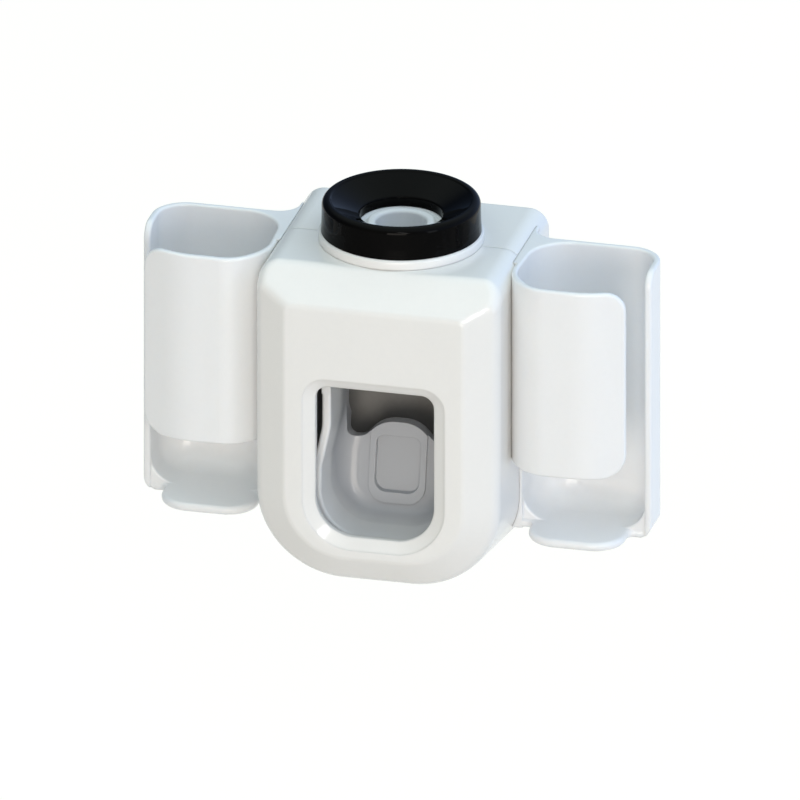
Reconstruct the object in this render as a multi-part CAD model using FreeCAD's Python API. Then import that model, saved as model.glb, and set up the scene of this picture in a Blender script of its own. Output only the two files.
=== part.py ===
import FreeCAD, Part
import math
import os

# Wall-mounted toothpaste dispenser with two brush holders.
# Millimetres. +Z up, +Y towards the wall, -Y front. Shapes are laid out with
# Z = 0 at the lowest point of the body and moved so that the origin is the
# centre of the wall face.

# ---- driving dimensions ---------------------------------------------------
WIDTH = 125.0            # across both brush holders
DEPTH = 55.0             # wall to front face
HEIGHT = 90.0            # body bottom to funnel rim
ORIGIN_Z = 45.0          # height of the wall face centre above the bottom

BODY_HW = 30.0           # half width of the centre body
BODY_TOP = 79.6          # top plane of the body
BODY_RT = 5.0            # upper corner radius
BODY_RB = 22.0           # lower corner radius at the front
BODY_RB_BACK = 9.0       # and at the back
Y_BACK = -0.8            # back rim of the rear shell
Y_PART = -27.5           # parting plane of the two shells
Y_CREASE = -51.0         # where the side bevel starts
FACE_HW = 22.0           # half width of the flat front face
FACE_TOP = 71.4          # top of the flat front face
FACE_BOT = 7.0           # bottom of the flat front face
TOP_BEVEL_Y = -47.3      # where the top bevel starts on the top plane
WALL = 2.0               # shell thickness
SEAM = 0.10              # gap at the parting plane

WIN_HW = 14.6            # window half width
WIN_BOT = 12.2
WIN_TOP = 50.6
WIN_RT = 3.2
WIN_RB = 9.5
WIN_FRAME = 2.9          # chamfered frame round the window

Y_AXIS = -27.5           # axis of inlet, pump and nozzle
COLLAR_R = 19.8
COLLAR_TOP = 82.0
RING_R = 19.1
RING_RIM_R = 17.0
THROAT_R = 10.0
INLET_R = 6.1            # bore that takes the neck of the tube

LEVER_Y = -43.0          # pivot axis of the lever
LEVER_Z = 54.5
PIN_R = 1.95
ARM_IN = 12.65           # inner face of a lever arm
ARM_OUT = 14.85
LEVER_FRONT = -46.3      # front edge of the scoop and the arms
TRUNNION_R = 1.8

CUP_OUT = WIDTH / 2.0    # outer face of a brush holder
CUP_BACK = -15.0         # outer face of its back wall
CUP_FRONT = -47.2        # outer face of its front panel
CUP_T = 1.7
CUP_BOT = 9.3
CUP_FLOOR_T = 2.2
CUP_RIM = 78.2
PANEL_BOT = 30.0
PANEL_END = 59.2
OUTER_EDGE = -31.5       # front edge of the outer wall
TONGUE_FRONT = -42.0

PLATE_HW = 20.0          # wall plate
PLATE_Z0, PLATE_Z1 = 29.0, 61.0
PAD_T = 1.0
PLATE_T = 2.4
HOOK_X = 12.0
HOOK_Z0, HOOK_Z1 = 46.0, 50.0
RELEASE = 10.0           # lift needed to free the hooks

FRAME_Y0, FRAME_Y1 = -15.4, -13.8   # back plate of the inner frame
FRAME_X = 26.2                      # outer face of its side cheeks
FRAME_Z0, FRAME_Z1 = 19.5, 66.0

SCREWS = [(24.3, 70.6), (-24.3, 70.6), (21.6, 14.6), (-21.6, 14.6)]


# ---- helpers --------------------------------------------------------------
def V(x, y, z):
    return FreeCAD.Vector(x, y, z)


def plane(name, w):
    if name == "XZ":
        return lambda u, v: V(u, w, v)
    if name == "XY":
        return lambda u, v: V(u, v, w)
    return lambda u, v: V(w, u, v)


def rpoly(pts, to3d):
    """Closed wire of straight sides with rounded corners; pts are (u, v[, r])."""
    n = len(pts)
    seg = []
    for i in range(n):
        p, c, q = pts[i - 1], pts[i], pts[(i + 1) % n]
        r = c[2] if len(c) > 2 else 0.0
        if r <= 0:
            seg.append(((c[0], c[1]), None, (c[0], c[1])))
            continue
        d1 = (p[0] - c[0], p[1] - c[1])
        d2 = (q[0] - c[0], q[1] - c[1])
        l1, l2 = math.hypot(*d1), math.hypot(*d2)
        d1 = (d1[0] / l1, d1[1] / l1)
        d2 = (d2[0] / l2, d2[1] / l2)
        phi = math.acos(max(-1.0, min(1.0, d1[0] * d2[0] + d1[1] * d2[1])))
        t = r / math.tan(phi / 2)
        b = (d1[0] + d2[0], d1[1] + d2[1])
        lb = math.hypot(*b)
        b = (b[0] / lb, b[1] / lb)
        k = r / math.sin(phi / 2)
        a1 = (c[0] + d1[0] * t, c[1] + d1[1] * t)
        a2 = (c[0] + d2[0] * t, c[1] + d2[1] * t)
        m = (c[0] + b[0] * (k - r), c[1] + b[1] * (k - r))
        seg.append((a1, m, a2))
    edges = []
    for i in range(n):
        a1, m, a2 = seg[i]
        if m is not None:
            edges.append(Part.Arc(to3d(*a1), to3d(*m), to3d(*a2)).toShape())
        b1 = seg[(i + 1) % n][0]
        if math.hypot(b1[0] - a2[0], b1[1] - a2[1]) > 1e-5:
            edges.append(Part.LineSegment(to3d(*a2), to3d(*b1)).toShape())
    return Part.Wire(edges)


def prism(pts, name, w0, w1):
    """Rounded polygon extruded along its plane's normal from w0 to w1."""
    f = Part.Face(rpoly(pts, plane(name, w0)))
    d = {"XZ": V(0, w1 - w0, 0), "XY": V(0, 0, w1 - w0), "YZ": V(w1 - w0, 0, 0)}[name]
    return f.extrude(d)


def box(x0, x1, y0, y1, z0, z1):
    return Part.makeBox(x1 - x0, y1 - y0, z1 - z0, V(x0, y0, z0))


def cyl(axis, r, a0, a1, u, v):
    if axis == "X":
        return Part.makeCylinder(r, a1 - a0, V(a0, u, v), V(1, 0, 0))
    if axis == "Y":
        return Part.makeCylinder(r, a1 - a0, V(u, a0, v), V(0, 1, 0))
    return Part.makeCylinder(r, a1 - a0, V(u, v, a0), V(0, 0, 1))


def turned(pts):
    """Solid of revolution about the pump axis; pts are (r, z[, corner radius])."""
    w = rpoly(pts, lambda u, v: V(u, Y_AXIS, v))
    return Part.Face(w).revolve(V(0, Y_AXIS, 0), V(0, 0, 1), 360)


def mirrored(s):
    return s.mirror(V(0, 0, 0), V(1, 0, 0))


def soften(s, pick, radii):
    """Fillet the picked edges with the first radius that gives a valid solid."""
    edges = [e for e in s.Edges if pick(e)]
    if not edges:
        return s
    for r in radii:
        try:
            t = s.makeFillet(r, edges)
            if t.isValid() and t.Volume > 0.5 * s.Volume and len(t.Solids) == len(s.Solids):
                return t
        except Exception:
            pass
    return s


def one(s):
    sol = sorted(s.Solids, key=lambda q: q.Volume)
    return sol[-1]


def normals(s, e):
    """Middle of an edge and the normals of its two faces there."""
    fs = s.ancestorsOfType(e, Part.Face)
    if len(fs) != 2:
        return None
    try:
        m = e.valueAt((e.FirstParameter + e.LastParameter) / 2)
        out = []
        for f in fs:
            u, v = f.Surface.parameter(m)
            out.append(f.normalAt(u, v))
    except Exception:
        return None
    return m, out[0], out[1]


CUP_FILLETS = []


def round_edges(s, label, pred, radii):
    def pick(e):
        q = normals(s, e)
        if q is None:
            return False
        m, n1, n2 = q
        if math.degrees(n1.getAngle(n2)) < 35:
            return False
        return pred(m, n1, n2) or pred(m, n2, n1)
    t = soften(s, pick, radii)
    CUP_FILLETS.append((label, t is not s))
    return t


parts = {}


# ---- centre body ----------------------------------------------------------
def corner(y):
    """Lower corner radius, which grows from the back to the front."""
    return BODY_RB_BACK + (BODY_RB - BODY_RB_BACK) * (y - Y_BACK) / (Y_CREASE - Y_BACK)


def body_profile(inset, rt, rb):
    hw = BODY_HW - inset
    return [(-hw, inset, rb), (hw, inset, rb), (hw, BODY_TOP - inset, rt), (-hw, BODY_TOP - inset, rt)]


def body_core(inset, rt, y0, y1):
    return Part.makeLoft([rpoly(body_profile(inset, rt, corner(y) - inset), plane("XZ", y)) for y in (y0, y1)], True, True)


def body_solid(inset, y_rear):
    """Closed body offset inwards by inset, rear face at y_rear."""
    yc = Y_CREASE + inset * 0.55
    rt, rb = max(BODY_RT - inset, 1.0), corner(yc) - inset
    yf = -DEPTH + inset
    hw = BODY_HW - inset
    fw = FACE_HW - inset * 0.45
    fb = FACE_BOT + inset * 0.4
    ztop = BODY_TOP - inset
    core = body_core(inset, rt, y_rear, yc)
    w1 = rpoly(body_profile(inset, rt, rb), plane("XZ", yc))
    w2 = rpoly([(-fw, fb, rb - 7.0), (fw, fb, rb - 7.0), (fw, ztop, max(rt - 2.0, 0.8)), (-fw, ztop, max(rt - 2.0, 0.8))],
               plane("XZ", yf))
    nose = Part.makeLoft([w1, w2], True, True)
    s = core.fuse(nose)
    # top bevel, moved in by the same wall
    ty, tz, fy, fz = TOP_BEVEL_Y, BODY_TOP, -DEPTH, FACE_TOP
    n = (tz - fz, -(ty - fy))
    ln = math.hypot(*n)
    dy, dz = inset * (n[0] / ln), inset * (n[1] / ln)
    a = (ty + dy, tz + dz)
    d = (fy - ty, fz - tz)
    p0 = (a[0] - d[0] * 3, a[1] - d[1] * 3)
    p1 = (a[0] + d[0] * 3, a[1] + d[1] * 3)
    cutter = prism([p0, p1, (p1[0] - 60, p1[1]), (p1[0] - 60, p0[1])], "YZ", -60, 60)
    s = s.cut(cutter)
    return one(s.removeSplitter())


outer = body_solid(0.0, Y_BACK)


OUTER_FILLETS = 0
for grp, radii in (
        (lambda e: abs(e.BoundBox.ZMin - BODY_TOP) < 0.05 and e.BoundBox.YMax < TOP_BEVEL_Y + 0.5
            and e.BoundBox.YLength < 0.05, (3.0, 2.0, 1.2)),
        (lambda e: e.BoundBox.YMax < -DEPTH + 0.05, (2.4, 1.8, 1.2, 0.8)),
        (lambda e: abs(e.BoundBox.YMin - Y_CREASE) < 0.05 and abs(e.BoundBox.YMax - Y_CREASE) < 0.05, (3.5, 2.5, 1.5, 0.8)),
        (lambda e: e.BoundBox.YMin > Y_BACK - 0.05, (1.6, 1.0))):
    before = outer
    outer = soften(outer, grp, radii)
    OUTER_FILLETS += 0 if outer is before else 1

cavity = body_solid(WALL, Y_BACK - WALL)
shell = outer.cut(cavity)

# hole for the pump head's waist
shell = shell.cut(cyl("Z", 14.15, BODY_TOP - 6, BODY_TOP + 2, 0, Y_AXIS))

front = shell.common(box(-70, 70, -60, Y_PART - SEAM / 2, -10, 100))
rear = shell.common(box(-70, 70, Y_PART + SEAM / 2, 5, -10, 100))

# lap joint: an inner lip on the rear shell enters a rebate in the front shell
R_LAP = corner(Y_PART)
lip_out = prism(body_profile(WALL - 0.95, 3.6, R_LAP - 1.1), "XZ", Y_PART + SEAM / 2, Y_PART - 2.2)
lip_in = prism(body_profile(WALL - 0.15, 3.15, R_LAP - WALL + 0.15), "XZ", Y_PART + 1.0, Y_PART - 3.0)
rebate = prism(body_profile(WALL - 1.05, 3.7, R_LAP - 1.0), "XZ", Y_PART - SEAM / 2, Y_PART - 2.4)
neck_hole = cyl("Z", 16.5, BODY_TOP - 6, BODY_TOP + 2, 0, Y_AXIS)
lip = lip_out.cut(lip_in).cut(neck_hole)
front = front.cut(rebate.cut(neck_hole))
rear = rear.fuse(lip)

# window with its chamfered frame
win = prism([(-WIN_HW, WIN_BOT, WIN_RB), (WIN_HW, WIN_BOT, WIN_RB), (WIN_HW, WIN_TOP, WIN_RT), (-WIN_HW, WIN_TOP, WIN_RT)],
            "XZ", -DEPTH - 2, -DEPTH + 6)
front = front.cut(win)
rim = prism([(-WIN_HW - 2, WIN_BOT - 2, WIN_RB + 2), (WIN_HW + 2, WIN_BOT - 2, WIN_RB + 2), (WIN_HW + 2, WIN_TOP + 2, WIN_RT + 2),
             (-WIN_HW - 2, WIN_TOP + 2, WIN_RT + 2)], "XZ", -DEPTH + WALL - 0.3, -DEPTH + WALL + 1.2)
front = front.fuse(rim.cut(win))
g = WIN_FRAME
wi = rpoly([(-WIN_HW - 0.15, WIN_BOT - 0.15, WIN_RB), (WIN_HW + 0.15, WIN_BOT - 0.15, WIN_RB),
            (WIN_HW + 0.15, WIN_TOP + 0.15, WIN_RT), (-WIN_HW - 0.15, WIN_TOP + 0.15, WIN_RT)], plane("XZ", -DEPTH + 1.6))
wo = rpoly([(-WIN_HW - g, WIN_BOT - g, WIN_RB + g), (WIN_HW + g, WIN_BOT - g, WIN_RB + g),
            (WIN_HW + g, WIN_TOP + g - 0.6, WIN_RT + g - 0.4), (-WIN_HW - g, WIN_TOP + g - 0.6, WIN_RT + g - 0.4)],
           plane("XZ", -DEPTH + 0.22))
wf = rpoly([(-WIN_HW - g, WIN_BOT - g, WIN_RB + g), (WIN_HW + g, WIN_BOT - g, WIN_RB + g),
            (WIN_HW + g, WIN_TOP + g - 0.6, WIN_RT + g - 0.4), (-WIN_HW - g, WIN_TOP + g - 0.6, WIN_RT + g - 0.4)],
           plane("XZ", -DEPTH - 0.5))
frame_cut = Part.makeLoft([wo, wi], True, True).fuse(Part.makeLoft([wf, wo], True, True))
front = front.cut(frame_cut)

# ears that carry the lever's pin
for sgn in (1, -1):
    x0, x1 = (15.2, 18.2) if sgn > 0 else (-18.2, -15.2)
    ear = prism([(-54.0, 49.6), (-38.6, 49.6, 4.2), (-38.6, 59.4, 4.2), (-54.0, 62.5)], "YZ", x0, x1)
    front = front.fuse(ear.common(outer))
front = front.cut(cyl("X", PIN_R + 0.02, -25, 25, LEVER_Y, LEVER_Z))

# screw towers
for (x, z) in SCREWS:
    front = front.fuse(cyl("Y", 3.2, -41.0, Y_PART - SEAM / 2, x, z).common(outer))
    rear = rear.fuse(cyl("Y", 3.4, Y_PART + SEAM / 2, Y_BACK - 0.6, x, z).common(outer))
    rear = rear.fuse(cyl("Y", 4.5, FRAME_Y1 + 0.05, Y_BACK - 0.6, x, z).common(outer))
for (x, z) in SCREWS:
    front = front.cut(cyl("Y", 1.28, -39.5, Y_PART + 1, x, z))
    rear = rear.cut(cyl("Y", 1.55, Y_PART - 3, Y_BACK + 1, x, z))
    rear = rear.cut(cyl("Y", 2.75, -17.0, Y_BACK + 1, x, z))
    # the lip and rebate give way to the towers
    rear = rear.cut(cyl("Y", 3.35, Y_PART - 3, Y_PART - SEAM / 2, x, z))

# recess for the wall plate, with keyholes for its hooks
Z_REC0, Z_REC1 = PLATE_Z0 - RELEASE - 2.0, PLATE_Z1 + 1.5
Y_REC = -(PAD_T + PLATE_T) - 0.8
rear = rear.fuse(prism([(-PLATE_HW - 4, Z_REC0 - 2, 6), (PLATE_HW + 4, Z_REC0 - 2, 6), (PLATE_HW + 4, Z_REC1 + 2, 6),
                        (-PLATE_HW - 4, Z_REC1 + 2, 6)], "XZ", Y_REC - WALL, Y_BACK - 1.0).common(outer))
rear = rear.cut(prism([(-PLATE_HW - 1.0, Z_REC0, 5.0), (PLATE_HW + 1.0, Z_REC0, 5.0), (PLATE_HW + 1.0, Z_REC1, 5.0),
                       (-PLATE_HW - 1.0, Z_REC1, 5.0)], "XZ", Y_REC, 2.0))
for (x, z) in SCREWS:
    rear = rear.cut(cyl("Y", 2.75, -17.0, Y_BACK + 1, x, z))
for sgn in (1, -1):
    cx = sgn * HOOK_X
    rear = rear.cut(box(cx - 1.85, cx + 1.85, -9, 0, HOOK_Z0 - RELEASE - 1.6, HOOK_Z1 + 0.1))
    rear = rear.cut(prism([(cx - 3.9, HOOK_Z0 - RELEASE - 1.7, 1.0), (cx + 3.9, HOOK_Z0 - RELEASE - 1.7, 1.0),
                           (cx + 3.9, HOOK_Z1 - RELEASE + 1.7, 1.0), (cx - 3.9, HOOK_Z1 - RELEASE + 1.7, 1.0)], "XZ", -9, 0))

# windows for the brush holders' lugs
LUG_Y = (-25.5, -20.5)
LUG_Z = [(60.0, 66.0), (24.0, 30.0)]
for (z0, z1) in LUG_Z:
    rear = rear.cut(box(-BODY_HW - 1, -BODY_HW + WALL + 1.2, LUG_Y[0] - 0.1, LUG_Y[1] + 0.1, z0 - 0.1, z1 + 0.1))
    rear = rear.cut(box(BODY_HW - WALL - 1.2, BODY_HW + 1, LUG_Y[0] - 0.1, LUG_Y[1] + 0.1, z0 - 0.1, z1 + 0.1))

parts["front_shell"] = one(front)
parts["rear_shell"] = one(rear)

# ---- inner frame: grey liner behind the lever, guides the carriage --------
room = body_solid(WALL + 0.2, Y_BACK - WALL)
fr = box(-FRAME_X, FRAME_X, FRAME_Y0, FRAME_Y1, FRAME_Z0, FRAME_Z1)
for (x, z) in SCREWS:
    fr = fr.fuse(cyl("Y", 5.6, FRAME_Y0, FRAME_Y1, x, z))
    sx = 1 if x > 0 else -1
    fr = fr.fuse(box(min(x, x - sx * 5), max(x, x - sx * 5), FRAME_Y0, FRAME_Y1, min(z, 40), max(z, 40)))
fr = fr.common(room)
for sgn in (1, -1):
    x0, x1 = (FRAME_X - 1.6, FRAME_X) if sgn > 0 else (-FRAME_X, -FRAME_X + 1.6)
    fr = fr.fuse(prism([(-47.0, FRAME_Z0, 4), (FRAME_Y1, FRAME_Z0), (FRAME_Y1, FRAME_Z1), (-47.0, FRAME_Z1, 4)], "YZ", x0, x1))
for (x, z) in SCREWS:
    fr = fr.cut(cyl("Y", 3.46, -40, -10, x, z))
fr = fr.cut(prism([(-2.4, 50.5, 1.0), (2.4, 50.5, 1.0), (2.4, 62.0, 1.0), (-2.4, 62.0, 1.0)], "XZ", -20, -10))
parts["inner_frame"] = one(fr.removeSplitter())

# ---- pump head and inlet --------------------------------------------------
head = turned([(8.6, 74.0), (8.6, 81.4), (12.6, 81.4), (12.6, 85.2), (15.5, 85.2, 0.5), (15.5, COLLAR_TOP),
               (COLLAR_R, COLLAR_TOP, 0.7), (COLLAR_R, BODY_TOP + 0.05), (14.0, BODY_TOP + 0.05), (14.0, BODY_TOP - WALL - 0.08),
               (17.0, BODY_TOP - WALL - 0.08), (17.0, 75.6, 0.6), (11.2, 75.6), (11.2, 71.5), (8.2, 71.5), (8.2, 66.0, 0.5),
               (6.2, 66.0), (6.2, 72.0), (1.2, 72.0), (1.2, 74.0)])
for k in range(6):
    a = math.radians(60 * k)
    head = head.cut(cyl("Z", 1.2, 71, 75, 3.9 * math.cos(a), Y_AXIS + 3.9 * math.sin(a)))
groove = Part.makeTorus(15.05, 0.56, V(0, Y_AXIS, 83.4), V(0, 0, 1))
head = head.cut(groove)
parts["pump_head"] = one(head)
parts["neck_o_ring"] = Part.makeTorus(15.05, 0.5, V(0, Y_AXIS, 83.4), V(0, 0, 1))

parts["funnel_ring"] = turned([(THROAT_R, 83.7), (THROAT_R, 86.1, 0.6), (RING_RIM_R - 0.3, 89.6, 0.5), (RING_RIM_R + 0.1, HEIGHT, 0.4),
                               (RING_R - 0.1, HEIGHT, 1.5), (RING_R, 84.5, 3.0), (RING_R + 0.15, COLLAR_TOP + 0.05),
                               (15.6, COLLAR_TOP + 0.05), (15.6, 85.5), (12.4, 85.5), (12.4, 83.7)])

parts["inlet_seal"] = turned([(INLET_R, 75.0), (INLET_R, 84.2, 0.75), (8.0, 84.2, 0.8), (8.6, 83.0, 0.7), (9.4, 83.0, 0.6), (9.7, 83.6, 0.25),
                              (12.3, 83.6), (12.3, 81.45), (8.5, 81.45), (8.5, 75.0)])

parts["inlet_valve"] = turned([(0, 71.0), (5.4, 71.35), (5.4, 71.95), (1.1, 71.95), (1.1, 74.05), (1.7, 74.05), (1.0, 74.6), (0, 74.6)])

# ---- bellows, spring, carriage, nozzle ------------------------------------
parts["pump_bellows"] = turned([(9.6, 71.3), (9.6, 66.3, 0.5), (7.6, 64.5, 0.4), (9.6, 62.7, 0.4), (7.6, 60.9, 0.4), (9.2, 59.5, 0.3), (7.0, 58.2),
                                (7.0, 55.7), (6.05, 55.7), (6.05, 58.6), (8.1, 59.7, 0.2), (6.6, 60.9, 0.3), (8.6, 62.7, 0.3),
                                (6.6, 64.5, 0.3), (8.25, 66.2), (8.25, 71.3)])

SPRING_R, WIRE_R = 10.45, 0.4
SPRING_Z0, SPRING_Z1 = 55.5 + WIRE_R + 0.05, 71.5 - WIRE_R - 0.05
helix = Part.makeHelix((SPRING_Z1 - SPRING_Z0) / 6.0, SPRING_Z1 - SPRING_Z0, SPRING_R)
ring = Part.Wire([Part.makeCircle(WIRE_R, V(SPRING_R, 0, 0), V(0, 1, 0))])
coil = Part.Wire(helix).makePipeShell([ring], True, True)
if isinstance(coil, Part.Shell):
    coil = Part.Solid(coil)
coil.translate(V(0, Y_AXIS, SPRING_Z0))
parts["return_spring"] = coil.Solids[0] if coil.Solids else coil

carr = turned([(3.2, 45.0), (4.6, 45.0, 0.4), (4.6, 53.5), (11.2, 53.5), (11.2, 55.5), (6.0, 55.5), (6.0, 59.2, 0.4), (3.2, 59.2)])
carr = carr.fuse(cyl("X", TRUNNION_R, -15.6, -9.2, Y_AXIS, LEVER_Z))
carr = carr.fuse(cyl("X", TRUNNION_R, 9.2, 15.6, Y_AXIS, LEVER_Z))
carr = carr.fuse(box(-2.05, 2.05, -18.5, -12.0, 53.5, 55.5))
carr = carr.cut(cyl("Z", 3.2, 40, 65, 0, Y_AXIS))
for (z0, z1) in ((55.5, 56.5),):
    keep = Part.makeCylinder(12, z1 - z0, V(0, Y_AXIS, z0)).cut(Part.makeCylinder(9.8, z1 - z0, V(0, Y_AXIS, z0)))
    carr = carr.cut(keep)
parts["nozzle_carriage"] = one(carr)

parts["bellows_clamp_ring"] = turned([(7.05, 55.75), (8.3, 55.75, 0.2), (8.3, 57.6, 0.2), (7.05, 57.6)])

duck = turned([(4.65, 51.6), (6.0, 51.6, 0.4), (6.0, 45.2, 1.5), (3.4, 40.8), (0, 40.8), (0, 41.9), (2.9, 44.8), (4.65, 44.8)])
wedge = prism([(-8, 39.0), (8, 39.0), (8, 46.0), (-8, 46.0)], "XZ", Y_AXIS - 8, Y_AXIS + 8)
blade = prism([(Y_AXIS - 1.3, 40.0), (Y_AXIS + 1.3, 40.0), (Y_AXIS + 6.2, 45.4), (Y_AXIS + 6.2, 52.0), (Y_AXIS - 6.2, 52.0), (Y_AXIS - 6.2, 45.4)],
              "YZ", -8, 8)
duck = duck.common(blade)
duck = duck.cut(box(-2.6, 2.6, Y_AXIS - 0.12, Y_AXIS + 0.12, 40.0, 43.0))
parts["outlet_duckbill"] = one(duck)

# ---- lever ----------------------------------------------------------------
ou = prism([(-ARM_OUT, 46.0), (-ARM_OUT, 37.0, 12), (-17.2, 26.0, 12), (-17.2, 7.0, 13), (17.2, 7.0, 13), (17.2, 26.0, 12),
            (ARM_OUT, 37.0, 12), (ARM_OUT, 46.0)], "XZ", -60, -15)
iu_pts = [(-ARM_IN, 75.0), (-ARM_IN, 37.0, 12), (-15.0, 26.0, 12), (-15.0, 9.3, 11), (15.0, 9.3, 11), (15.0, 26.0, 12),
          (ARM_IN, 37.0, 12), (ARM_IN, 75.0)]
iu = prism(iu_pts, "XZ", -60, -15)
so = prism([(LEVER_FRONT, 5.5), (-31.5, 6.8, 11), (-25.0, 37.0, 6), (-25.0, 46.0), (LEVER_FRONT, 46.0)], "YZ", -30, 30)
BACK_LOW, BACK_SLOPE = -32.35, 5.3 / 24.6    # back wall of the hollow: Y at Z = 12.4, and its lean


def back_y(z):
    return BACK_LOW + (z - 12.4) * BACK_SLOPE


def si(shift):
    return prism([(-60.0, 4.0), (back_y(4.0) + shift, 4.0), (back_y(75.0) + shift, 75.0), (-60.0, 75.0)], "YZ", -30, 30)


def on_back(e):
    pts = [v.Point for v in e.Vertexes] + [e.valueAt((e.FirstParameter + e.LastParameter) / 2)]
    return all(abs(q.y - back_y(q.z)) < 0.01 for q in pts) and not all(abs(q.z - 75.0) < 0.01 for q in pts)


cav = one(iu.common(si(0.0)))
cav = soften(cav, on_back, (5.0, 4.0, 3.0, 2.0))
scoop = ou.common(so).cut(cav)
scoop = one(scoop)
scoop = soften(scoop, lambda e: e.BoundBox.YMax < LEVER_FRONT + 0.05 and e.BoundBox.ZMax < 45.9, (0.7, 0.5, 0.3))

pad_o = prism([(-7.0, 13.0, 4.2), (7.0, 13.0, 4.2), (7.0, 40.0), (-7.0, 40.0)], "XZ", -48, -20)
pad_i = prism([(-5.5, 15.6, 2.8), (5.5, 15.6, 2.8), (5.5, 29.0, 2.0), (-5.5, 29.0, 2.0)], "XZ", -48, -20)
raised = pad_o.common(si(0.3).cut(si(-0.9)))
dish = pad_i.common(si(0.7))
lever = scoop.fuse(raised)
lever = lever.cut(dish)

arm_pts = [(LEVER_FRONT, 34.0), (LEVER_FRONT, 48.6, 3), (-48.2, 51.4, 3), (-48.2, 59.6, 4.4), (-38.4, 59.6, 3), (-36.6, 58.4, 3), (-22.9, 58.4, 1.6),
           (-22.9, 50.6, 1.6), (-28.4, 50.6, 3), (-28.4, 34.0)]
arm_back = [(-28.4, 46.5), (-28.4, 36.0, 4.0), (-23.5, 29.5), (-15.0, 29.5), (-15.0, 46.5)]
lever = lever.cut(prism(arm_back, "YZ", ARM_IN, 20.0)).cut(prism(arm_back, "YZ", -20.0, -ARM_IN))
for sgn in (1, -1):
    x0, x1 = (ARM_IN, ARM_OUT) if sgn > 0 else (-ARM_OUT, -ARM_IN)
    arm = prism(arm_pts, "YZ", x0, x1)
    arm = arm.cut(box(-70, 70, -80, 0, 0, 45.5))
    lever = lever.fuse(arm)
# hump and notches along the back wall's upper edge
crest = prism([(-ARM_IN, 27.9, 2.0), (-8.6, 27.9, 3.6), (-4.6, 32.4, 8.0), (4.6, 32.4, 8.0), (8.6, 27.9, 3.6), (ARM_IN, 27.9, 2.0),
               (ARM_IN, 80.0), (-ARM_IN, 80.0)], "XZ", LEVER_FRONT + 1.5, -15.0)
lever = lever.cut(crest)
# fork slots and pin bore
for sgn in (1, -1):
    x0, x1 = (ARM_IN - 1, ARM_OUT + 1) if sgn > 0 else (-ARM_OUT - 1, -ARM_IN + 1)
    lever = lever.cut(prism([(-30.6, LEVER_Z - 2.05, 2.0), (-20.0, LEVER_Z - 2.05), (-20.0, LEVER_Z + 2.05), (-30.6, LEVER_Z + 2.05, 2.0)],
                            "YZ", x0, x1))
lever = lever.cut(cyl("X", PIN_R + 0.07, -25, 25, LEVER_Y, LEVER_Z))
parts["push_lever"] = one(lever)

parts["lever_pivot_pin"] = cyl("X", PIN_R, -20.4, 20.4, LEVER_Y, LEVER_Z)
clip = cyl("X", 4.0, 18.35, 19.35, LEVER_Y, LEVER_Z).cut(cyl("X", PIN_R + 0.02, 18, 20, LEVER_Y, LEVER_Z))
parts["pivot_clips"] = Part.Compound([clip, mirrored(clip)])

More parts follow.
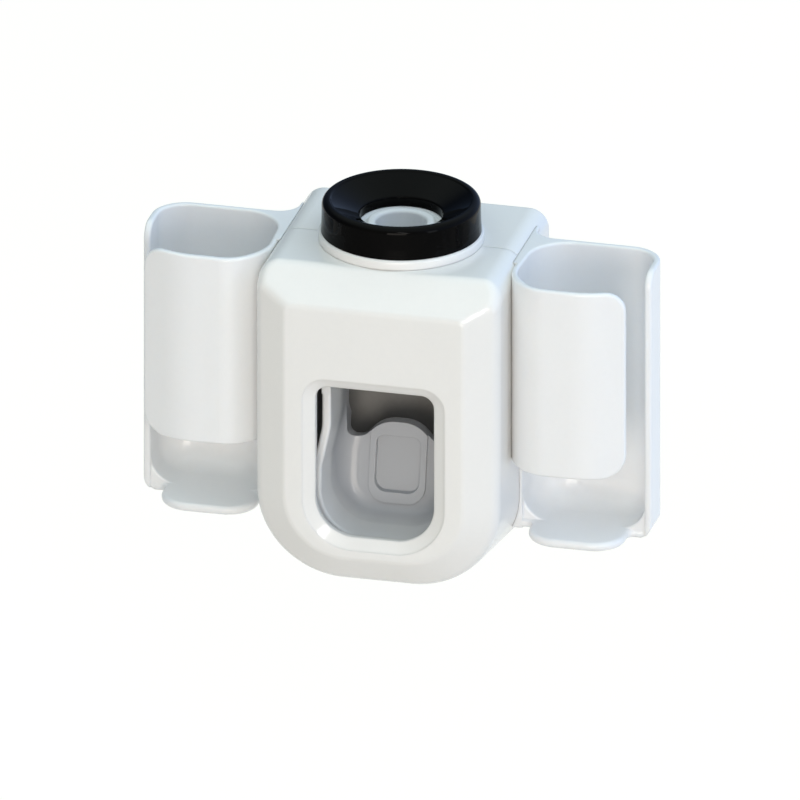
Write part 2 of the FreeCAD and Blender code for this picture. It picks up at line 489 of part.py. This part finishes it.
# ---- brush holders --------------------------------------------------------
def cup():
    t = CUP_T
    x0 = BODY_HW - 4.0
    # plan of the outside; the body side runs into the centre body and is trimmed last
    po = [(x0, CUP_BACK + 6.0), (29.4, CUP_BACK + 6.0), (29.4, CUP_BACK, 5.0), (CUP_OUT, CUP_BACK, 8.5), (CUP_OUT, -41.0),
          (PANEL_END + 2.2, -43.0, 2.0), (50.0, CUP_FRONT, 20.0), (35.8, CUP_FRONT, 9.0), (29.4, -39.6, 13.6), (29.4, -32.0), (x0, -32.0)]
    # plan of the hollow; the wall on the body thins out towards the front
    pi = [(BODY_HW + 1.4, CUP_BACK - t, 10.0), (CUP_OUT - t, CUP_BACK - t, 6.8), (CUP_OUT - t, -40.0), (PANEL_END + 1.6, -41.3, 2.0),
          (50.0, CUP_FRONT + t, 18.3), (36.6, CUP_FRONT + t, 7.3), (BODY_HW + 0.5, -38.26, 11.9)]
    tube = prism(po, "XY", CUP_BOT, CUP_RIM).cut(prism(pi, "XY", 0.0, 95.0))
    # ahead of the outer wall only the front panel stays
    keep = prism([(20.0, PANEL_BOT), (PANEL_END, PANEL_BOT, 6.0), (PANEL_END, 95.0), (20.0, 95.0)], "XZ", -61, OUTER_EDGE + 1)
    walls = tube.cut(box(20, 70, -60, OUTER_EDGE, 0, 95).cut(keep))
    walls = walls.cut(box(PANEL_END - 5.0, PANEL_END + 5.0, -60, OUTER_EDGE - 3, CUP_RIM - 5.0, CUP_RIM + 5.0).cut(
        cyl("Y", 5.0, -61, OUTER_EDGE, PANEL_END - 5.0, CUP_RIM - 5.0)))
    walls = walls.cut(box(45.0, 70, OUTER_EDGE - 1, OUTER_EDGE + 4.0, CUP_RIM - 4.0, CUP_RIM + 6).cut(
        cyl("X", 4.0, 44, 71, OUTER_EDGE + 4.0, CUP_RIM - 4.0)))
    walls = one(walls.removeSplitter())
    walls = round_edges(walls, "rim", lambda m, n1, n2: n1.z > 0.9 and abs(n2.z) < 0.3 and m.z > 76 and m.x > 31.5, (0.6, 0.45, 0.3))
    walls = round_edges(walls, "panel", lambda m, n1, n2: m.y < -41 and m.x > 33 and m.z < CUP_RIM and abs(n1.y) < 0.03
                        and (n1.z < -0.3 or n1.x > 0.5) and abs(n2.z) < 0.05 and abs(n2.y) > 0.3, (0.6, 0.45, 0.3))
    walls = round_edges(walls, "wall", lambda m, n1, n2: m.x > 60 and abs(m.y - OUTER_EDGE) < 0.1 and n1.y < -0.9 and abs(n2.x) > 0.9,
                        (0.6, 0.45, 0.3))
    # floor with its tongue
    top = CUP_BOT + CUP_FLOOR_T
    floor = prism([(x0, CUP_BACK - 0.4), (CUP_OUT - 0.4, CUP_BACK - 0.4, 8.0), (CUP_OUT - 0.4, OUTER_EDGE + 0.4, 3.0), (57.0, OUTER_EDGE + 0.4, 1.5),
                   (57.0, TONGUE_FRONT, 7.5), (33.4, TONGUE_FRONT, 7.5), (33.4, OUTER_EDGE, 1.5), (x0, OUTER_EDGE)], "XY", CUP_BOT, top)
    floor = round_edges(floor, "tongue", lambda m, n1, n2: m.y < OUTER_EDGE + 0.3 and m.x > 32.0 and m.x < 59.5 and abs(n1.z) > 0.9
                        and abs(n2.z) < 0.2, (1.0, 0.8, 0.6, 0.4))
    # rounded bottom of the hollow, all along the walls
    bowl = prism([(BODY_HW + 1.4, CUP_BACK - t, 10.0), (CUP_OUT - t, CUP_BACK - t, 6.8), (CUP_OUT - t, -70.0), (29.17, -70.0)], "XY", top, 60.0)
    bowl = round_edges(bowl, "bowl", lambda m, n1, n2: abs(m.z - top) < 0.01 and m.y > -69.0, (6.5, 6.0, 5.0, 4.0))
    cove = prism([(x0, CUP_BACK - 0.4), (CUP_OUT - 0.4, CUP_BACK - 0.4, 8.0), (CUP_OUT - 0.4, OUTER_EDGE + 0.7), (x0, OUTER_EDGE + 0.7)],
                 "XY", CUP_BOT + 0.2, top + 6.6).cut(bowl)
    cove = round_edges(one(cove), "cove", lambda m, n1, n2: abs(m.y - OUTER_EDGE - 0.7) < 0.05 and m.z > top + 0.01 and n1.y < -0.9 and m.x > BODY_HW,
                       (1.2, 0.8, 0.4))
    s = walls.fuse(floor).fuse(cove)
    bottom_round = prism([(CUP_OUT - 4, 0.0), (CUP_OUT + 4, 0.0), (CUP_OUT + 4, CUP_BOT + 4.0), (CUP_OUT - 4, CUP_BOT + 4.0)], "XZ", -60, 0).cut(
        cyl("Y", 4.0, -61, 1, CUP_OUT - 4.0, CUP_BOT + 4.0))
    s = s.cut(bottom_round)
    # the holder stands clear of the body's side by a hair
    s = s.cut(body_core(-0.05, BODY_RT, 5.0, -60.0))
    return one(s)


right = cup()


def with_lugs(s):
    for (z0, z1) in LUG_Z:
        s = s.fuse(box(BODY_HW - WALL - 1.4, BODY_HW + 0.8, LUG_Y[0], LUG_Y[1] - 0.0, z0, z1))
        s = s.fuse(box(BODY_HW - WALL - 1.4, BODY_HW - WALL - 0.15, LUG_Y[0], LUG_Y[1] + 0.0, z0 - 1.0, z0 + 0.5))
    return one(s)


parts["right_brush_holder"] = with_lugs(right)
parts["left_brush_holder"] = mirrored(parts["right_brush_holder"])

# ---- fasteners, wall plate ------------------------------------------------
screws = []
for (x, z) in SCREWS:
    s = cyl("Y", 1.25, -33.5, -17.0, x, z)
    s = s.fuse(Part.makeCone(1.25, 0.3, 1.6, V(x, -33.5, z), V(0, -1, 0)))
    h = cyl("Y", 2.4, -17.0, -15.3, x, z)
    h = soften(h, lambda e: e.BoundBox.YMin > -15.35, (0.6,))
    s = s.fuse(h)
    s = s.cut(box(x - 1.5, x + 1.5, -16.2, -15.0, z - 0.3, z + 0.3)).cut(box(x - 0.3, x + 0.3, -16.2, -15.0, z - 1.5, z + 1.5))
    screws.append(one(s))
parts["shell_screws"] = Part.Compound(screws)

yp0, yp1 = -(PAD_T + PLATE_T), -PAD_T
plate = prism([(-PLATE_HW, PLATE_Z0, 4.5), (PLATE_HW, PLATE_Z0, 4.5), (PLATE_HW, PLATE_Z1, 4.5), (-PLATE_HW, PLATE_Z1, 4.5)], "XZ", yp0, yp1)
for sgn in (1, -1):
    cx = sgn * HOOK_X
    plate = plate.fuse(box(cx - 1.6, cx + 1.6, Y_REC - WALL - 0.4, yp0 + 0.2, HOOK_Z0, HOOK_Z1))
    plate = plate.fuse(prism([(cx - 3.4, HOOK_Z0 - 1.2, 0.8), (cx + 3.4, HOOK_Z0 - 1.2, 0.8), (cx + 3.4, HOOK_Z1 + 1.2, 0.8), (cx - 3.4, HOOK_Z1 + 1.2, 0.8)],
                             "XZ", Y_REC - WALL - 2.0, Y_REC - WALL - 0.35))
parts["wall_plate"] = one(plate)
parts["adhesive_pad"] = prism([(-PLATE_HW + 1, PLATE_Z0 + 1, 4), (PLATE_HW - 1, PLATE_Z0 + 1, 4), (PLATE_HW - 1, PLATE_Z1 - 1, 4),
                               (-PLATE_HW + 1, PLATE_Z1 - 1, 4)], "XZ", -PAD_T, 0.0)

# ---- write ----------------------------------------------------------------
os.makedirs("parts", exist_ok=True)
for name, shape in parts.items():
    s = shape.copy()
    s.translate(V(0, 0, -ORIGIN_Z))
    bb = s.BoundBox
    print("%-20s valid=%s solids=%d vol=%.1f  x %.2f..%.2f y %.2f..%.2f z %.2f..%.2f" % (
        name, s.isValid(), len(s.Solids), s.Volume, bb.XMin, bb.XMax, bb.YMin, bb.YMax, bb.ZMin, bb.ZMax))
    s.exportStep("parts/%s.step" % name)
print("fillet groups applied:", OUTER_FILLETS, CUP_FILLETS)
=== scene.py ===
import math

import bmesh
import bpy
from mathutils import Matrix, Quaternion, Vector


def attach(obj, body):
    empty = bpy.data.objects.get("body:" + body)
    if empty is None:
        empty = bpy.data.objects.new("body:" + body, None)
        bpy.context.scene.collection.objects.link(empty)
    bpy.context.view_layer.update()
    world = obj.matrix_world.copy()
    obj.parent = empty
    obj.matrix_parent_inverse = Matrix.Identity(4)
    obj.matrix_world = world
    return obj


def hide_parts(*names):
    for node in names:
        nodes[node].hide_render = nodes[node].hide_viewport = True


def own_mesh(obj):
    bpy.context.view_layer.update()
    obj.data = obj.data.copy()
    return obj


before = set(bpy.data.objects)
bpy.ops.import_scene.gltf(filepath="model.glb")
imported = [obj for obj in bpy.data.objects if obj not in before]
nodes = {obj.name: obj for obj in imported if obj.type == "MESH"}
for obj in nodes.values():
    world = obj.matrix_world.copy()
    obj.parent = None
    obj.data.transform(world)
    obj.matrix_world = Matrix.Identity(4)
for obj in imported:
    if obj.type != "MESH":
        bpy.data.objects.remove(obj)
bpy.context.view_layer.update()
MM = 0.001
Y_AXIS = -27.5          # axis of inlet, pump and nozzle, mm
Z0 = 45.0               # layout height of the origin, mm


# ---- node helpers ----------------------------------------------------------
class Mat:
    """A Principled material whose inputs come from procedural nodes in object space."""

    def __init__(self, name):
        self.m = bpy.data.materials.new(name)
        self.m.use_nodes = True
        self.t = self.m.node_tree
        self.t.nodes.clear()
        self.out = self.t.nodes.new("ShaderNodeOutputMaterial")
        self.b = self.t.nodes.new("ShaderNodeBsdfPrincipled")
        self.t.links.new(self.b.outputs[0], self.out.inputs["Surface"])
        self.co = self.t.nodes.new("ShaderNodeTexCoord").outputs["Object"]

    def link(self, a, b):
        self.t.links.new(a, b)

    def set(self, **kw):
        for k, v in kw.items():
            self.b.inputs[k.replace("_", " ")].default_value = v

    def mapped(self, scale=(1, 1, 1), rot=(0, 0, 0), loc=(0, 0, 0)):
        n = self.t.nodes.new("ShaderNodeMapping")
        n.inputs["Scale"].default_value = scale
        n.inputs["Rotation"].default_value = rot
        n.inputs["Location"].default_value = loc
        self.link(self.co, n.inputs["Vector"])
        return n.outputs[0]

    def noise(self, scale, detail=2.0, rough=0.5, vec=None, distortion=0.0):
        n = self.t.nodes.new("ShaderNodeTexNoise")
        n.inputs["Scale"].default_value = scale
        n.inputs["Detail"].default_value = detail
        n.inputs["Roughness"].default_value = rough
        n.inputs["Distortion"].default_value = distortion
        self.link(vec or self.co, n.inputs["Vector"])
        return n.outputs["Fac"]

    def cells(self, scale, vec=None, feature="F1", rand=1.0):
        n = self.t.nodes.new("ShaderNodeTexVoronoi")
        n.feature = feature
        n.inputs["Scale"].default_value = scale
        n.inputs["Randomness"].default_value = rand
        self.link(vec or self.co, n.inputs["Vector"])
        return n.outputs["Distance"]

    def wave(self, scale, distortion=0.0, detail=0.0, direction="X", vec=None):
        n = self.t.nodes.new("ShaderNodeTexWave")
        n.bands_direction = direction
        n.inputs["Scale"].default_value = scale
        n.inputs["Distortion"].default_value = distortion
        n.inputs["Detail"].default_value = detail
        self.link(vec or self.co, n.inputs["Vector"])
        return n.outputs["Fac"]

    def span(self, fac, lo, hi, out_lo, out_hi):
        n = self.t.nodes.new("ShaderNodeMapRange")
        n.inputs["From Min"].default_value = lo
        n.inputs["From Max"].default_value = hi
        n.inputs["To Min"].default_value = out_lo
        n.inputs["To Max"].default_value = out_hi
        self.link(fac, n.inputs["Value"])
        return n.outputs["Result"]

    def mix(self, fac, a, b):
        n = self.t.nodes.new("ShaderNodeMix")
        n.data_type = "RGBA"
        ins = [i for i in n.inputs if i.type == "RGBA"]
        for sock, v in zip(ins, (a, b)):
            if isinstance(v, tuple):
                sock.default_value = v + (1.0,)
            else:
                self.link(v, sock)
        self.link(fac, n.inputs[0])
        return [o for o in n.outputs if o.type == "RGBA"][0]

    def math(self, op, a, b):
        n = self.t.nodes.new("ShaderNodeMath")
        n.operation = op
        for sock, v in zip(n.inputs, (a, b)):
            if isinstance(v, (int, float)):
                sock.default_value = v
            else:
                self.link(v, sock)
        return n.outputs[0]

    def bump(self, height, strength, distance, normal=None):
        n = self.t.nodes.new("ShaderNodeBump")
        n.inputs["Strength"].default_value = strength
        n.inputs["Distance"].default_value = distance
        self.link(height, n.inputs["Height"])
        if normal is not None:
            self.link(normal, n.inputs["Normal"])
        return n.outputs[0]

    def soft_edges(self, radius):
        n = self.t.nodes.new("ShaderNodeBevel")
        n.samples = 8
        n.inputs["Radius"].default_value = radius
        return n.outputs[0]

    def to(self, sock, out):
        self.link(out, self.b.inputs[sock])


def moulded(name, light, dark, rough, ior=1.47, coat=0.0, coat_rough=0.06, sss=0.0, grain=0.05, edge=0.00018, painted_shade=None):
    """Injection-moulded plastic: faint flow mottling, slight gloss changes, fine mould grain; an optional second
    colour paints shade, darkening towards the back wall.
    """
    k = Mat(name)
    flow = k.noise(70.0, 4.0, 0.6, k.mapped((1.0, 1.0, 0.35)), 1.2)
    fine = k.noise(900.0, 2.0, 0.5)
    tone = k.math("ADD", k.math("MULTIPLY", flow, 0.6), k.math("MULTIPLY", fine, 0.4))
    colour = k.mix(k.span(tone, 0.3, 0.7, 0.0, 1.0), dark, light)
    if painted_shade:
        # painted shade: the colour darkens towards the back wall, standing in for the shade there
        xyz = k.t.nodes.new("ShaderNodeSeparateXYZ")
        k.link(k.co, xyz.inputs[0])
        colour = k.mix(k.span(xyz.outputs["Y"], -0.0375, -0.0335, 0.0, 1.0), colour, painted_shade)
    k.to("Base Color", colour)
    gloss = k.noise(160.0, 4.0, 0.6)
    k.to("Roughness", k.span(gloss, 0.3, 0.7, rough[0], rough[1]))
    mould = k.noise(2600.0, 2.0, 0.6)
    k.to("Normal", k.bump(mould, grain, 0.00004, k.soft_edges(edge)))
    k.set(IOR=ior, Coat_Weight=coat, Coat_Roughness=coat_rough)
    if sss:
        k.set(Subsurface_Weight=sss, Subsurface_Scale=0.0014, Subsurface_Radius=(1.0, 0.9, 0.82))
    return k.m


white_body = moulded("white_body", (0.85, 0.838, 0.818), (0.83, 0.82, 0.803), (0.3, 0.38), coat=0.5, sss=0.1, edge=0.0008)
# painted light: the holders get a lighter, cooler copy of the body white that stands in for the light inside them
holder_white_painted_light = moulded("white_body_holders_painted_light", (0.866, 0.87, 0.88), (0.848, 0.852, 0.863), (0.3, 0.38), coat=0.5, sss=0.2, edge=0.0005)
# painted shade: the lever's colour darkens from its front walls to the back wall, and stays dark on the parts
# behind it
lever_white_painted_shade = moulded("lever_plastic", (0.9, 0.905, 0.905), (0.88, 0.885, 0.887), (0.3, 0.4), coat=0.3, sss=0.2, edge=0.0003, painted_shade=(0.47, 0.49, 0.525))
plate_white = moulded("plate_plastic", (0.72, 0.72, 0.71), (0.685, 0.685, 0.675), (0.42, 0.55), grain=0.16)
ring_black = moulded("black_ring", (0.0032, 0.0029, 0.0028), (0.0021, 0.002, 0.002), (0.05, 0.09), ior=1.13, grain=0.006)
# painted shade: the inner frame's dark grey stands in for the shade behind the lever
frame_grey_painted_shade = moulded("grey_frame", (0.30, 0.298, 0.292), (0.265, 0.263, 0.26), (0.48, 0.6), grain=0.22)


def silicone(name, light, dark, rough, sss):
    """Silicone rubber: satin, faintly cloudy, with a dusting of fine specks."""
    k = Mat(name)
    cloud = k.noise(140.0, 4.0, 0.6, None, 0.4)
    k.to("Base Color", k.mix(k.span(cloud, 0.3, 0.7, 0.0, 1.0), dark, light))
    k.to("Roughness", k.span(k.noise(600.0, 2.0, 0.5), 0.3, 0.7, rough[0], rough[1]))
    n1 = k.bump(k.noise(300.0, 2.0, 0.5), 0.06, 0.0003, k.soft_edges(0.00015))
    k.to("Normal", k.bump(k.cells(3800.0), 0.06, 0.00004, n1))
    k.set(IOR=1.41, Sheen_Weight=0.06, Sheen_Roughness=0.5)
    if sss:
        k.set(Subsurface_Weight=sss, Subsurface_Scale=0.0012, Subsurface_Radius=(1.0, 0.92, 0.86))
    return k.m


white_silicone = silicone("white_silicone", (0.75, 0.765, 0.78), (0.70, 0.715, 0.735), (0.34, 0.46), 0.25)
black_silicone = silicone("black_silicone", (0.02, 0.02, 0.021), (0.012, 0.012, 0.012), (0.36, 0.5), 0.0)


def steel(name, direction):
    """Drawn bright steel: fine lines along the work, small changes in brightness."""
    k = Mat(name)
    sc = {"X": (90.0, 2600.0, 2600.0), "Y": (2600.0, 90.0, 2600.0), "Z": (2600.0, 2600.0, 90.0), "": (900.0, 900.0, 900.0)}[direction]
    lines = k.noise(1.0, 3.0, 0.6, k.mapped(sc))
    k.to("Base Color", k.mix(k.span(lines, 0.3, 0.7, 0.0, 1.0), (0.50, 0.50, 0.505), (0.66, 0.66, 0.655)))
    k.to("Roughness", k.span(lines, 0.3, 0.7, 0.18, 0.34))
    k.to("Normal", k.bump(lines, 0.08, 0.00003, k.soft_edges(0.0001)))
    k.set(Metallic=1.0)
    return k.m


pin_steel = steel("drawn_steel_pin", "X")
screw_steel = steel("drawn_steel_screws", "Y")
spring_steel = steel("spring_wire", "")


def foam(name):
    """Acrylic foam pad: closed cells, matt, slightly uneven."""
    k = Mat(name)
    pores = k.cells(2400.0)
    lump = k.noise(500.0, 3.0, 0.6)
    k.to("Base Color", k.mix(k.span(pores, 0.1, 0.6, 0.0, 1.0), (0.50, 0.51, 0.505), (0.64, 0.645, 0.635)))
    k.to("Roughness", k.span(lump, 0.3, 0.7, 0.62, 0.8))
    n1 = k.bump(lump, 0.25, 0.0002)
    k.to("Normal", k.bump(pores, 0.5, 0.00012, n1))
    return k.m


pad_foam = foam("adhesive_foam")

PART_MATERIALS = {
    "front_shell": white_body, "rear_shell": white_body, "left_brush_holder": holder_white_painted_light, "right_brush_holder": holder_white_painted_light,
    "pump_head": white_body, "funnel_ring": ring_black, "inlet_seal": white_silicone, "inlet_valve": white_silicone,
    "pump_bellows": white_silicone, "outlet_duckbill": white_silicone, "neck_o_ring": black_silicone, "push_lever": lever_white_painted_shade,
    "nozzle_carriage": lever_white_painted_shade, "bellows_clamp_ring": lever_white_painted_shade, "inner_frame": frame_grey_painted_shade, "lever_pivot_pin": pin_steel,
    "pivot_clips": pin_steel, "return_spring": spring_steel, "shell_screws": screw_steel, "wall_plate": plate_white,
    "adhesive_pad": pad_foam,
}
for name, mat in PART_MATERIALS.items():
    o = nodes[name]
    o.data.materials.clear()
    o.data.materials.append(mat)


# ---- soft pieces, bellows skin and spring, attached to the housing ---------
def piece(name, bm, mat, body):
    me = bpy.data.meshes.new(name)
    bmesh.ops.recalc_face_normals(bm, faces=bm.faces)
    bm.to_mesh(me)
    bm.free()
    for p in me.polygons:
        p.use_smooth = True
    me.materials.append(mat)
    o = bpy.data.objects.new(name, me)
    bpy.context.scene.collection.objects.link(o)
    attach(o, body)
    return o


def smooth_loop(pts, rounds=3):
    """Corner-cut a closed outline; a point with a third value of 1 stays sharp."""
    cur = [(p[0], p[1], p[2] if len(p) > 2 else 0) for p in pts]
    for _ in range(rounds):
        nxt = []
        n = len(cur)
        for i in range(n):
            a, b, c = cur[i - 1], cur[i], cur[(i + 1) % n]
            if b[2]:
                nxt.append(b)
                continue
            nxt.append((b[0] * 0.75 + a[0] * 0.25, b[1] * 0.75 + a[1] * 0.25, 0))
            nxt.append((b[0] * 0.75 + c[0] * 0.25, b[1] * 0.75 + c[1] * 0.25, 0))
        cur = nxt
    return cur


def lathe(outline, segs):
    """Closed ring swept round the pump axis; outline is (radius, layout height), mm."""
    bm = bmesh.new()
    rows = []
    for i in range(segs):
        a = 2 * math.pi * i / segs
        rows.append([bm.verts.new((r * math.cos(a) * MM, (Y_AXIS + r * math.sin(a)) * MM, (z - Z0) * MM)) for r, z, *_ in outline])
    n = len(outline)
    for i in range(segs):
        p, q = rows[i], rows[(i + 1) % segs]
        for j in range(n):
            bm.faces.new((p[j], p[(j + 1) % n], q[(j + 1) % n], q[j]))
    return bm


bellows_outline = smooth_loop([
    (9.6, 71.3, 1), (9.6, 66.6), (8.7, 65.4), (7.7, 64.5), (8.7, 63.6), (9.75, 62.7), (8.7, 61.8), (7.7, 60.9), (8.6, 60.3), (9.3, 59.85), (7.6, 59.05),
    (7.0, 58.8), (7.0, 55.7, 1), (6.05, 55.7, 1), (6.05, 59.1), (7.0, 59.6), (8.2, 59.95), (7.4, 60.45), (6.6, 60.9), (7.6, 61.7), (8.75, 62.7), (7.6, 63.7),
    (6.6, 64.5), (7.6, 65.5), (8.3, 66.4), (8.3, 71.3, 1)], 2)
bellows = piece("bellows_skin", lathe(bellows_outline, 96), white_silicone, "housing")
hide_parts("pump_bellows")
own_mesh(bellows)


def coil_spring(radius, wire, z_lo, z_hi, turns, closed, per_turn=56, sides=14):
    """Compression spring with closed end coils; heights are of the wire's centre line, mm."""
    total = turns + 2 * closed
    steps = int(total * per_turn)
    rise = z_hi - z_lo - 2 * (2.05 * wire) * closed
    pts = []
    z = z_lo
    for i in range(steps + 1):
        t = total * i / steps
        pts.append((t, z))
        step = total / steps

        def pitch(u):
            lo, hi = 2.05 * wire, rise / turns
            w = min(max((u - closed) / 0.5 + 0.5, 0.0), 1.0) * min(max((total - closed - u) / 0.5 + 0.5, 0.0), 1.0)
            w = w * w * (3 - 2 * w)
            return lo + (hi - lo) * w
        z += pitch(t + step / 2) * step
    k = (z_hi - z_lo) / (pts[-1][1] - z_lo)
    pts = [(t, z_lo + (zz - z_lo) * k) for t, zz in pts]
    bm = bmesh.new()
    rings = []
    for i, (t, zz) in enumerate(pts):
        a = 2 * math.pi * t
        c = Vector((radius * math.cos(a), Y_AXIS + radius * math.sin(a), zz - Z0))
        out = Vector((math.cos(a), math.sin(a), 0))
        rings.append([bm.verts.new((c + (out * math.cos(b) + Vector((0, 0, 1)) * math.sin(b)) * wire) * MM)
                      for b in (2 * math.pi * j / sides for j in range(sides))])
    for p, q in zip(rings, rings[1:]):
        for j in range(sides):
            bm.faces.new((p[j], p[(j + 1) % sides], q[(j + 1) % sides], q[j]))
    bm.faces.new(rings[0][::-1])
    bm.faces.new(rings[-1])
    return bm


spring = piece("pump_spring", coil_spring(10.45, 0.4, 55.95, 71.05, 4.6, 1.1), spring_steel, "housing")
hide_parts("return_spring")
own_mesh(spring)

# ---- floor, light, camera --------------------------------------------------
scene = bpy.context.scene
scene.view_settings.view_transform = "Standard"
scene.view_settings.look = "None"

floor_mesh = bpy.data.meshes.new("floor")
S, N = 2.4, 24
verts = [(-S + 2 * S * i / N, -S + 2 * S * j / N, -0.26) for j in range(N + 1) for i in range(N + 1)]
faces = [(j * (N + 1) + i, j * (N + 1) + i + 1, (j + 1) * (N + 1) + i + 1, (j + 1) * (N + 1) + i) for j in range(N) for i in range(N)]
floor_mesh.from_pydata(verts, [], faces)
floor = bpy.data.objects.new("floor", floor_mesh)
scene.collection.objects.link(floor)
fl = Mat("pale_floor")
fl.to("Base Color", fl.mix(fl.span(fl.noise(3.0, 2.0, 0.5), 0.3, 0.7, 0.0, 1.0), (0.27, 0.268, 0.26), (0.29, 0.288, 0.28)))
fl.set(Roughness=0.95, Emission_Color=(1.0, 0.985, 0.93, 1.0))
# painted light: the floor glows, brighter on the sweep behind the object and dimmer ahead of it
along = fl.t.nodes.new("ShaderNodeSeparateXYZ")
fl.link(fl.co, along.inputs[0])
fl.to("Emission Strength", fl.span(along.outputs["Y"], -0.12, 0.2, 0.16, 0.77))
floor_mesh.materials.append(fl.m)

# soft surround: warm from the front, cool from the sides and back, dimmer overhead
world = bpy.data.worlds.new("soft_studio")
scene.world = world
world.use_nodes = True
wt = world.node_tree
wt.nodes.clear()


def w_node(kind, **props):
    n = wt.nodes.new(kind)
    for k, v in props.items():
        setattr(n, k, v)
    return n


def w_ramp(sock, lo, hi):
    n = w_node("ShaderNodeMapRange", interpolation_type="SMOOTHSTEP")
    n.inputs["From Min"].default_value, n.inputs["From Max"].default_value = lo, hi
    wt.links.new(sock, n.inputs["Value"])
    return n.outputs["Result"]


def w_mix(fac, a, b):
    n = w_node("ShaderNodeMix", data_type="RGBA")
    ins = [i for i in n.inputs if i.type == "RGBA"]
    for sock, v in zip(ins, (a, b)):
        if isinstance(v, tuple):
            sock.default_value = v + (1.0,)
        else:
            wt.links.new(v, sock)
    wt.links.new(fac, n.inputs[0])
    return [o for o in n.outputs if o.type == "RGBA"][0]


way = w_node("ShaderNodeSeparateXYZ")
wt.links.new(w_node("ShaderNodeTexCoord").outputs["Generated"], way.inputs[0])
sides = w_mix(w_ramp(way.outputs["X"], -0.6, 0.6), (0.05, 0.08, 0.14), (0.56, 0.75, 1.15))
front = w_mix(w_ramp(way.outputs["Z"], -0.1, -0.7), (0.30, 0.275, 0.25), (0.60, 0.54, 0.47))
around = w_mix(w_ramp(way.outputs["Y"], -0.2, -0.95), sides, front)
sky = w_mix(w_ramp(way.outputs["Z"], 0.38, 0.97), around, (1.14, 1.31, 1.29))
bg = w_node("ShaderNodeBackground")
bg.inputs["Strength"].default_value = 1.0
wt.links.new(sky, bg.inputs["Color"])
wt.links.new(bg.outputs[0], w_node("ShaderNodeOutputWorld").inputs["Surface"])


def lamp(name, at, aim, size, watts, colour, roll=0.0):
    d = bpy.data.lights.new(name, "AREA")
    d.shape = "RECTANGLE"
    d.size, d.size_y = size
    d.energy = watts
    d.color = colour
    o = bpy.data.objects.new(name, d)
    scene.collection.objects.link(o)
    o.location = at
    o.rotation_mode = "QUATERNION"
    o.rotation_quaternion = (Vector(aim) - Vector(at)).to_track_quat("-Z", "Y") @ Quaternion((0, 0, 1), math.radians(roll))
    return o


AIM = (0.0, -0.03, 0.0)
lamp("key", (0.16, -1.19, 0.0), AIM, (0.55, 0.55), 5.0, (1.0, 0.92, 0.82))
lamp("side_fill", (1.0, -0.66, 0.1), AIM, (0.3, 0.5), 1.3, (0.9, 0.955, 1.0))
lamp("eye_strip", (0.315, -1.036, 0.423), AIM, (0.06, 0.5), 1.45, (1.0, 0.985, 0.96), roll=33.0)

cam_data = bpy.data.cameras.new("photo_camera")
cam = bpy.data.objects.new("photo_camera", cam_data)
scene.collection.objects.link(cam)
cam_data.type = "ORTHO"
cam_data.ortho_scale = 0.19093
cam_data.clip_start, cam_data.clip_end = 0.01, 20.0
az, el = math.radians(14.2), math.radians(23.2)
toward = Vector((math.sin(az) * math.cos(el), -math.cos(az) * math.cos(el), math.sin(el)))
target = Vector((0.00036, -0.03017, -0.00625))
cam.location = target + toward * 1.0
cam.rotation_mode = "QUATERNION"
cam.rotation_quaternion = (-toward).to_track_quat("-Z", "Y")
scene.camera = cam
